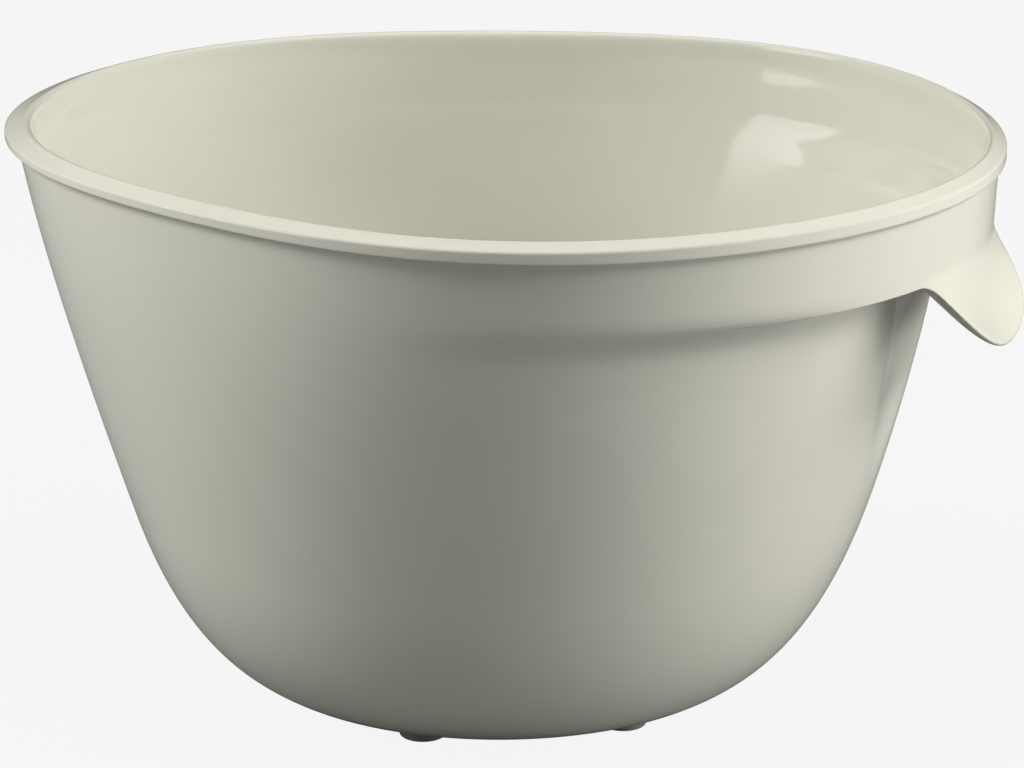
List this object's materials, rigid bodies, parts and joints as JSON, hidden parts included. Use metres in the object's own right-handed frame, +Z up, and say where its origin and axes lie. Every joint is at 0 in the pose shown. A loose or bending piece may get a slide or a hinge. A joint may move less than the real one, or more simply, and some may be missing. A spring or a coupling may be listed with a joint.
{
  "type": "batter bowl",
  "caption": "Deep moulded plastic batter bowl with an egg-shaped rounded rim drawn to a pouring spout, a collar that fades into the wall, a hanging finger tongue and soft non-slip feet.",
  "frame": {"origin": "middle of the footprint's box, on the surface that the feet stand on", "axes": "+X towards the finger tongue, -X towards the spout, +Z up out of the bowl's mouth"},
  "size_m": [0.272, 0.2436, 0.1535],
  "materials": {
    "bowl_plastic": "satin gloss",
    "foot_rubber": "matte"
  },
  "bodies": {
    "root": {"bowl": "bowl_plastic", "foot_1": "foot_rubber", "foot_2": "foot_rubber", "foot_3": "foot_rubber", "foot_4": "foot_rubber", "foot_5": "foot_rubber", "foot_6": "foot_rubber"}
  },
  "joints": []
}
